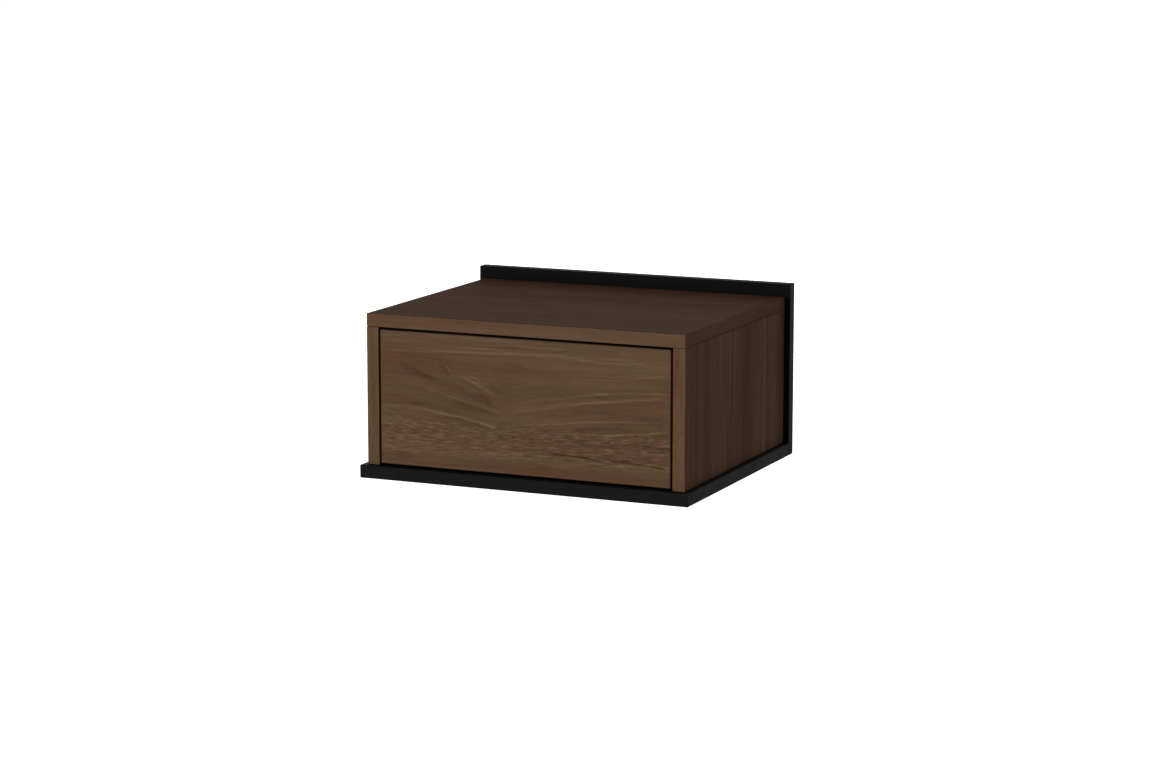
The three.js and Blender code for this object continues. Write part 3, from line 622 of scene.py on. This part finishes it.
# Fine flecks of the lower band: dashes, and shorter ticks between them
flecks_below = (-22 * MM, -38 * MM)
flecks_above = (-82 * MM, -68 * MM)
dash_length = 17 * MM
dash_height = 1.2 * MM
tick_length = 8 * MM
tick_height = 1.0 * MM
dark_dash_noise = (0.55, 0.63)
dark_tick_noise = (0.61, 0.70)
pale_dash_noise = (0.45, 0.37)
pale_tick_noise = (0.40, 0.31)
dark_tick_share = 0.6
pale_tick_share = 0.8
dark_tone = 0.19
pale_tone = 0.29
fleck_height = 0.5
front_joint_tone = 0.4
front_edge_offset = 0.6  # metres in the noise from the face's figure to the edges' own


def stroke(graph, x, z, start_x, start_z, end_x, end_z, half, sag, tone):
    """A thin soft line along a parabola between two points of the drawer front."""
    span = (end_x - start_x) * MM
    slope = (end_z - start_z) * MM / span
    curve = -4 * sag * MM / span**2
    x0 = start_x * MM
    constant = start_z * MM - slope * x0 + curve * x0 * (x0 + span)
    linear = slope - curve * (2 * x0 + span)
    line = graph.math("MULTIPLY_ADD", graph.math("MULTIPLY_ADD", x, curve, linear), x, constant)
    reach = half * MM * sqrt(1 + slope**2) * stroke_softness
    above = z - line
    body = graph.rise(abs(above), reach, 0.0)
    if tone > 0:
        shadow = graph.rise(abs(above + shadow_drop * reach), shadow_half * reach, 0.0)
        body = body - shadow * shadow_share
    tip = min(stroke_tip, tip_share * span)
    ends = graph.rise(x, x0, x0 + tip) * graph.rise(x, x0 + span, x0 + span - tip)
    return body * ends * tone


def drawer_front_walnut():
    """Grain from side to side, bent to the figure's V, with its strokes, bands and flecks."""
    graph = new_graph("walnut_drawer_front")
    low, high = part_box("drawer_front")
    x, y, z = graph.at()
    end = graph.on_ends()
    face = graph.on_front()
    edges = 1.0 - face

    away = x - apex_x
    fall = 1.0 - graph.fade(abs(away) / fall_reach)
    slope = graph.pick(graph.rise(away, -apex_half, apex_half), left_fall, right_fall)
    bend = fall * slope * graph.hump(z, apex_z, figure_half) * face
    along = graph.pick(end, x, z)
    across = graph.pick(end, z - bend, y) + edges * front_edge_offset
    tone, redness, height = walnut_grain(graph, along, across, y * edges, seeds["drawer front"])

    lower = graph.rise(z, *flecks_below) * graph.rise(z, *flecks_above) * face
    dashes = graph.noise(x / dash_length, (z - bend) / dash_height, seeds["dashes"])
    ticks = graph.noise(x / tick_length, (z - bend) / tick_height, seeds["ticks"])
    dark = graph.rise(dashes, *dark_dash_noise) + graph.rise(ticks, *dark_tick_noise) * dark_tick_share
    pale = graph.rise(dashes, *pale_dash_noise) + graph.rise(ticks, *pale_tick_noise) * pale_tick_share

    waver = graph.noise(x * waver_cells, z * waver_cells, seeds["waver"], detail=2) - noise_mean
    cells_along, cells_across = break_cells
    breaks = graph.noise(x * cells_along, z * cells_across, seeds["breaks"])
    strokes = 0.0
    for figure in figure_strokes:
        strokes = strokes + stroke(graph, x, z + waver * waver_reach, *figure)
    strength = graph.pick(graph.rise(breaks, *break_noise), *stroke_tones)

    tone = toned(tone, "drawer front") + strokes * strength * face
    tone = tone + (pale * pale_tone - dark * dark_tone) * lower
    for area in shades:
        tone = tone + patch(graph, x, z, *area) * face
    for area in blushes:
        redness = redness + patch(graph, x, z, *area) * face
    rims = seam(graph, z, high[2] - band_thickness) + seam(graph, z, low[2] + band_thickness)
    line = seam(graph, abs(x), high[0] - band_thickness) * (1.0 - end) + rims * face
    height = height - line - dark * lower * fleck_height
    return laminate_finish(graph, tone - line * front_joint_tone, redness, height)


# The other materials

black_cloud_share = 0.4
black_roughness = (0.40, 0.56)


def black_laminate(name, painted_front_shading=1.0, painted_end_shading=1.0):
    """The shares are of the other faces' colour, on the front and on the two ends: painted light or shade
    that lightens or darkens those faces.
    """
    graph = new_graph(name)
    grains = graph.texture("black grains")
    clouds = graph.texture("black clouds")
    tone = graph.pick(black_cloud_share, grains, clouds)
    colour = graph.ramp(tone, black_colour, black_colour, black_fleck)
    # Painted light and shade: the front and the two ends are made lighter or darker than the other faces
    level = graph.pick(graph.on_front(), 1.0, painted_front_shading)
    level = level * graph.pick(graph.on_ends(), 1.0, painted_end_shading)
    colour = graph.blend(1.0, colour, level, "MULTIPLY")
    return graph.finish_as("black", colour, graph.pick(clouds, *black_roughness), grains)


thread_cells = (1150, 60)  # to the metre, across and along a thread
slub_cells = (260, 14)
thread_places = (3.0, 8.0)
slub_places = (12.0, 17.0)
slub_tone = 0.70
weave_noise = (0.28, 0.72)
linen_roughness = 0.58
hardboard_roughness = 0.62
fibre_share = 0.8
speck_share = 0.3
thread_height = 2.0  # of the threads on top, to that of the fibres
facing_turn = (0.5, 0.7)  # how squarely the board looks up where its facing shows


def weave(graph, across, up, cells, places):
    """Noise of threads both ways."""
    fine, coarse = cells
    first, second = places
    upright = graph.noise(across * fine, up * coarse, first)
    level = graph.noise(across * coarse, up * fine, second)
    return (upright + level) / 2


def linen_colour(graph, tone):
    return graph.ramp(graph.rise(tone, *weave_noise), linen_dark, linen_light)


def linen_board():
    """Board faced with a woven-look laminate."""
    graph = new_graph("linen_board")
    x, y, z = graph.at()
    threads = weave(graph, x + y, z, thread_cells, thread_places)
    slubs = weave(graph, x + y, z, slub_cells, slub_places)
    tone = threads + (slubs - noise_mean) * slub_tone
    return graph.finish_as("linen", linen_colour(graph, tone), linen_roughness, tone)


def hardboard():
    """Brown pressed fibre below, and the box's woven-look facing on top."""
    graph = new_graph("hardboard")
    x, y, _ = graph.at()
    fibres = graph.texture("hardboard fibres")
    specks = graph.cells("hardboard specks")
    raw = graph.ramp(fibres * fibre_share + specks * speck_share, hardboard_dark, hardboard_light)
    threads = weave(graph, x, y, thread_cells, thread_places)
    top = graph.rise(graph.facing()[2], *facing_turn)
    colour = graph.blend(top, raw, linen_colour(graph, threads))
    height = fibres + threads * top * thread_height
    return graph.finish_as("hardboard", colour, hardboard_roughness, height)


line_share = 0.45
cloud_share = 0.4
spangle_share = 0.25
zinc_noise = (0.3, 0.75)
zinc_roughness = (0.26, 0.46)


def zinc_steel():
    """Rolled and zinc-plated sheet, with its lines along the rails."""
    graph = new_graph("zinc_steel")
    lines = graph.texture("zinc lines")
    clouds = graph.texture("zinc clouds")
    spangle = graph.cells("zinc spangle")
    tone = lines * line_share + clouds * cloud_share + spangle * spangle_share
    colour = graph.ramp(graph.rise(tone, *zinc_noise), zinc_dark, zinc_light)
    roughness = graph.pick(clouds, *zinc_roughness)
    return graph.finish(colour, roughness, lines, zinc_relief, metallic=1.0)


pit_cells = (0.30, 0.12)
pit_tone = 0.2
alloy_roughness = (0.38, 0.58)


def zinc_alloy():
    """Die-cast zinc: dull, slightly pitted."""
    graph = new_graph("zinc_alloy")
    skin = graph.texture("alloy skin")
    pits = graph.rise(graph.cells("alloy pits"), *pit_cells)
    colour = graph.ramp(skin - pits * pit_tone, alloy_dark, alloy_light)
    roughness = graph.pick(skin, *alloy_roughness)
    return graph.finish(colour, roughness, skin - pits, alloy_relief, metallic=1.0)


plastic_roughness = 0.42
rubber_roughness = 0.78
skin_roughness = 0.16
wear_noise = (0.35, 0.75)
worn_share = 1.8  # the worn colour's brightness, of the colour's


def moulded(name, colour, roughness, skin_texture):
    """Moulded plastic or rubber with a fine skin of its own."""
    graph = new_graph(name)
    skin = graph.texture(skin_texture)
    worn = tuple(worn_share * part for part in colour)
    shade = graph.ramp(graph.rise(graph.texture("wear"), *wear_noise), colour, worn)
    rough = roughness + (skin - noise_mean) * skin_roughness
    return graph.finish_as("moulded", shade, rough, skin)


fleck_noise = (0.58, 0.7)
fleck_tone = 0.3
beech_roughness = 0.6


def beech():
    graph = new_graph("beech")
    fibres = graph.texture("beech fibres")
    flecks = graph.rise(graph.texture("beech flecks"), *fleck_noise)
    colour = graph.ramp(fibres - flecks * fleck_tone, beech_dark, beech_light)
    return graph.finish_as("beech", colour, beech_roughness, fibres)


materials = {
    "black_laminate": black_laminate("black_laminate"),
    "linen_board": linen_board(),
    "hardboard": hardboard(),
    "zinc_steel": zinc_steel(),
    "zinc_alloy": zinc_alloy(),
    "black_plastic": moulded("black_plastic", plastic_colour, plastic_roughness, "plastic skin"),
    "rubber": moulded("rubber", rubber_colour, rubber_roughness, "rubber skin"),
    "beech": beech(),
}
own_materials = {  # of single nodes
    # Painted light on the base's front and painted shade on its ends; painted shade on the back panel's
    # front
    "base_panel": black_laminate("black_base_painted_shading", painted_front_shading=1.10, painted_end_shading=0.78),
    "back_panel": black_laminate("black_back_painted_shade", painted_front_shading=0.80),
    "top_panel": top_panel_walnut(),
    "drawer_front": drawer_front_walnut(),
    "left_side_panel": side_panel_walnut("left"),
    "right_side_panel": side_panel_walnut("right"),
}


# CAD nodes: a material each, and curved faces shaded as curves

flat_angle = radians(32)  # faces that meet at less than this are shaded as one curve
weld_distance = 0.002 * MM
largest_faces_only = 100  # weight at which a node's large faces alone decide its corner normals


def curve_shading():
    """Geometry nodes that weld a mesh's facets and keep only its sharp edges."""
    tree = bpy.data.node_groups.new("curve_shading", "GeometryNodeTree")
    tree.interface.new_socket("Geometry", in_out="INPUT", socket_type="NodeSocketGeometry")
    tree.interface.new_socket("Geometry", in_out="OUTPUT", socket_type="NodeSocketGeometry")
    entry = tree.nodes.new("NodeGroupInput")
    leave = tree.nodes.new("NodeGroupOutput")
    weld = tree.nodes.new("GeometryNodeMergeByDistance")
    weld.inputs["Distance"].default_value = weld_distance
    angle = tree.nodes.new("GeometryNodeInputMeshEdgeAngle")
    sharp = tree.nodes.new("FunctionNodeCompare")
    sharp.operation = "GREATER_THAN"
    sharp.inputs[1].default_value = flat_angle
    normal = tree.nodes.new("GeometryNodeSetMeshNormal")
    normal.mode = "SHARPNESS"
    normal.inputs["Remove Custom"].default_value = True
    normal.inputs["Face Sharpness"].default_value = False
    tree.links.new(entry.outputs[0], weld.inputs[0])
    tree.links.new(weld.outputs[0], normal.inputs["Mesh"])
    tree.links.new(angle.outputs["Unsigned Angle"], sharp.inputs[0])
    tree.links.new(sharp.outputs[0], normal.inputs["Edge Sharpness"])
    tree.links.new(normal.outputs[0], leave.inputs[0])
    return tree


shading = curve_shading()
for subpart in frame["record"]["subparts"]:
    name = subpart["node"]
    node = nodes[name]
    node.data.materials.clear()
    node.data.materials.append(own_materials.get(name) or materials[subpart["material_slot"]])
    node.modifiers.new("curve_shading", "NODES").node_group = shading
    flat = node.modifiers.new("flat_faces", "WEIGHTED_NORMAL")
    flat.keep_sharp = True
    flat.weight = largest_faces_only


# Pieces of the scene's own, all of zinc-plated steel

def add_fitting(mesh, body):
    """Makes a mesh a piece that rides on a body."""
    mesh.materials.append(materials["zinc_steel"])
    mesh.shade_smooth()
    mesh.set_sharp_from_angle(angle=flat_angle)
    piece = bpy.data.objects.new(mesh.name, mesh)
    bpy.context.scene.collection.objects.link(piece)
    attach(piece, body)
    return piece


def corners(node):
    """The lowest and the highest corner of a CAD node's box."""
    low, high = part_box(node)
    return Vector(low), Vector(high)


def standing(origin, direction):
    """Turns +Z to a direction and moves the origin there."""
    turn = direction.to_track_quat("Z", "Y").to_matrix().to_4x4()
    return Matrix.Translation(origin) @ turn


def into_mesh(name, body):
    """Turns an edited body into a mesh."""
    mesh = bpy.data.meshes.new(name)
    body.to_mesh(mesh)
    body.free()
    return mesh


screw_sides = 48


def lathed(name, rings, place):
    """A closed body of rings about Z. A ring's size is a radius or a function of the angle."""
    body = bmesh.new()
    loops = []
    for size, height in rings:
        loop = []
        for i in range(screw_sides):
            angle = 2 * pi * i / screw_sides
            radius = size(angle) if callable(size) else size
            loop.append(body.verts.new((radius * cos(angle), radius * sin(angle), height)))
        loops.append(loop)
    for low, high in zip(loops, loops[1:]):
        for i in range(screw_sides):
            j = (i + 1) % screw_sides
            body.faces.new((low[i], low[j], high[j], high[i]))
    body.faces.new(loops[0][::-1])
    body.faces.new(loops[-1])
    bmesh.ops.recalc_face_normals(body, faces=body.faces)
    body.transform(place)
    return into_mesh(name, body)


# A recess is a function that gives its outline at a share of its full size, and that outline is the
# radius at each angle

def hex_recess(apothem):
    def outline(share):
        def radius(angle):
            return share * apothem / cos((angle + pi / 6) % (pi / 3) - pi / 6)
        return radius
    return outline


def cross_recess(reach, half):
    def outline(share):
        def radius(angle):
            turn = angle % (pi / 2)
            turn = min(turn, pi / 2 - turn)
            on_tip = tan(turn) < half / reach
            return share * (reach / cos(turn) if on_tip else half / sin(turn))
        return radius
    return outline


def countersunk(name, place, radius, length, recess, depth):
    """A countersunk screw along +Z, with the middle of its head's face at the origin."""
    neck = 0.66 * radius
    core = 0.58 * radius
    rings = [
        (recess(0.86), depth),
        (recess(1.0), 0.04 * radius),
        (recess(1.06), 0.0),
        (0.94 * radius, 0.0),
        (radius, 0.05 * radius),
        (radius, 0.14 * radius),
        (neck, 0.62 * radius),
        (neck, 0.28 * length),
        (core, 0.30 * length),
        (core, 0.90 * length),
        (0.15 * core, length),
    ]
    return lathed(name, rings, place)


def replace_screw(node, direction, body, kind):
    """A round screw in the place of a faceted one, sized from its box."""
    low, high = corners(node)
    size = high - low
    along = max(range(3), key=lambda axis: abs(direction[axis]))
    length = size[along]
    radius = size[(along + 1) % 3] / 2
    head = (low + high) / 2 - direction * (length / 2)
    if kind == "hex":
        recess = (hex_recess(0.42 * radius), 0.5 * radius)
    else:
        recess = (cross_recess(0.52 * radius, 0.13 * radius), 0.42 * radius)
    mesh = countersunk(f"{node}_round", standing(head, direction), radius, length, *recess)
    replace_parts(add_fitting(mesh, body), node)


for side, inward in (("right", LEFT), ("left", RIGHT)):
    for end in ("front", "rear"):
        replace_screw(f"{side}_{end}_base_screw", UP, "cabinet", "hex")
    for name in ("lower_back_screw", "upper_back_screw", "back_base_screw"):
        replace_screw(f"{side}_{name}", FRONT, "cabinet", "hex")
    for name in ("upper_hanger_screw", "lower_hanger_screw"):
        replace_screw(f"{side}_{name}", FRONT, "cabinet", "cross")
    replace_screw(f"{side}_drawer_back_screw", inward, "drawer", "cross")


def pan_head(name, place, radius, height, length, core):
    """A pan-head screw along +Z, with the seat of its head at the origin."""
    recess = cross_recess(0.55 * radius, 0.13 * radius)
    rings = [
        (recess(0.8), -0.25 * height),
        (recess(1.0), -height),
        (0.62 * radius, -height),
        (0.86 * radius, -0.82 * height),
        (0.97 * radius, -0.5 * height),
        (radius, -0.15 * height),
        (radius, 0.0),
        (core, 0.0),
        (core, 0.85 * length),
        (0.15 * core, length),
    ]
    return lathed(name, rings, place)


def flush_head(name, place, radius, length, core):
    """A screw whose small head fills its hole, flush with the sheet."""
    recess = cross_recess(0.6 * radius, 0.16 * radius)
    rings = [
        (recess(0.8), 0.4 * radius),
        (recess(1.0), 0.0),
        (0.9 * radius, 0.0),
        (radius, 0.08 * radius),
        (radius, 0.5 * radius),
        (core, 0.6 * radius),
        (core, 0.85 * length),
        (0.15 * core, length),
    ]
    return lathed(name, rings, place)


# Runner screws, in the rails' holes
rail_sheet = 1.2 * MM
rail_screw_radius = 2.1 * MM
rail_screw_core = 1.6 * MM
rail_screw_sink = 0.06 * MM
cabinet_hole_shares = (0.14, 0.5, 0.86)
drawer_hole_shares = (0.1, 0.9)
screwed_rails = {  # body, places along the rail, screw's length, and 1 for outward or -1 for inward
    "cabinet_rail": ("cabinet", cabinet_hole_shares, 13 * MM, 1),
    "drawer_rail": ("drawer", drawer_hole_shares, 10 * MM, -1),
}
for side, sign in SIDES.items():
    for rail, (body, hole_shares, length, outward) in screwed_rails.items():
        low, high = corners(f"{side}_{rail}")
        way = sign * outward
        web = max(low.x * way, high.x * way) - rail_sheet + rail_screw_sink
        for i, share in enumerate(hole_shares):
            head = Vector((web * way, low.y + share * (high.y - low.y), (low.z + high.z) / 2))
            name = f"{side}_{rail}_screw_{i}"
            place = standing(head, RIGHT * way)
            mesh = flush_head(name, place, rail_screw_radius, length, rail_screw_core)
            add_fitting(mesh, body)


# Round balls over the faceted ones in the cages
ball_radius = 2.0 * MM
cage_end = 8 * MM
balls_per_row = 5
ball_sides = 20
ball_rings = 12


def ball_rows(name, centre_x, low, high):
    """A row of balls along the lower edge of a cage's box, and one along its upper edge."""
    body = bmesh.new()
    pitch = (high.y - low.y - 2 * cage_end) / (balls_per_row - 1)
    for z in (low.z + ball_radius, high.z - ball_radius):
        for i in range(balls_per_row):
            spot = Matrix.Translation((centre_x, low.y + cage_end + i * pitch, z))
            bmesh.ops.create_uvsphere(
                body, u_segments=ball_sides, v_segments=ball_rings, radius=ball_radius, matrix=spot,
            )
    return into_mesh(name, body)


for side, sign in SIDES.items():
    for row in ("outer", "inner"):
        low, high = corners(f"{side}_{row}_ball_cage")
        inner, outer = sorted((low.x * sign, high.x * sign))
        reach = outer - ball_radius if row == "outer" else inner + ball_radius
        mesh = ball_rows(f"{side}_{row}_balls", reach * sign, low, high)
        add_fitting(mesh, f"{side}_{row}_cage")


# Screws of the push latch and its strike plate: node, body, distance apart, how far the plate lies
# before the rear of the node's box, direction, then the screw's radius, height, length and core
plate_screws = {
    "latch_screw": (
        "push_latch_housing", "cabinet", 28 * MM, 4 * MM, REAR, 3.6 * MM, 2.0 * MM, 14 * MM, 1.7 * MM,
    ),
    "strike_screw": (
        "push_latch_strike", "drawer", 20 * MM, 0.0, FRONT, 3.2 * MM, 1.5 * MM, 11 * MM, 1.5 * MM,
    ),
}
for name, (node, body, apart, ahead, direction, *sizes) in plate_screws.items():
    low, high = corners(node)
    for i, sign in enumerate(SIDES.values()):
        seat = Vector((0, high.y - ahead, (low.z + high.z) / 2 + sign * apart / 2))
        add_fitting(pan_head(f"{name}_{i}", standing(seat, direction), *sizes), body)


# Floor, surround, lamps and camera

def seen_directly(graph):
    """1 for the camera, mirrors and glass, and 0 for all other light."""
    path = graph.node("LightPath").outputs
    seen = graph.math("ADD", path["Is Camera Ray"], path["Is Glossy Ray"])
    return graph.math("ADD", seen, path["Is Transmission Ray"], clamp=True)


def add_floor():
    bpy.ops.mesh.primitive_plane_add(size=floor_size, location=(0, 0, floor_height))
    floor = bpy.context.object
    floor.name = "floor"
    graph = new_graph("pale_floor")
    paint = graph.node("BsdfDiffuse", {"Color": floor_colour})
    glow = graph.node("Emission", {"Color": white, "Strength": seen_directly(graph) * floor_glow})
    both = graph.node("AddShader", {0: paint.outputs[0], 1: glow.outputs[0]})
    graph.node("OutputMaterial", {"Surface": both.outputs[0]})
    floor.data.materials.append(graph.owner)


def add_surround():
    graph = Graph(bpy.data.worlds.new("surround"))
    strength = graph.pick(seen_directly(graph), ambient, background)
    shade = graph.node("Background", {"Color": white, "Strength": strength})
    graph.node("OutputWorld", {"Surface": shade.outputs[0]})
    bpy.context.scene.world = graph.owner


def around(azimuth, elevation, distance):
    """From an aim to a point at an angle to the right of the front and above the level."""
    level = distance * cos(elevation)
    return Vector((level * sin(azimuth), -level * cos(azimuth), distance * sin(elevation)))


def aim_from(thing, azimuth, elevation, distance):
    """Puts a lamp or camera round the camera's aim, and turns it there."""
    away = around(azimuth, elevation, distance)
    thing.location = camera_aim + away
    thing.rotation_euler = (-away).to_track_quat("-Z", "Y").to_euler()
    bpy.context.scene.collection.objects.link(thing)


def add_lamp(name, azimuth, elevation, distance, width, height, power):
    """A rectangular lamp that is itself out of sight."""
    data = bpy.data.lights.new(name, "AREA")
    data.shape = "RECTANGLE"
    data.size = width
    data.size_y = height
    data.energy = power
    lamp = bpy.data.objects.new(name, data)
    lamp.visible_camera = False
    lamp.visible_glossy = False
    aim_from(lamp, azimuth, elevation, distance)


def add_camera():
    data = bpy.data.cameras.new("camera")
    data.lens = camera_lens
    camera = bpy.data.objects.new("camera", data)
    aim_from(camera, camera_azimuth, camera_elevation, camera_distance)
    bpy.context.scene.camera = camera


add_floor()
add_surround()
for name, settings in lamps.items():
    add_lamp(name, *settings)
add_camera()
bpy.context.scene.view_settings.view_transform = "Standard"

bpy.context.view_layer.update()
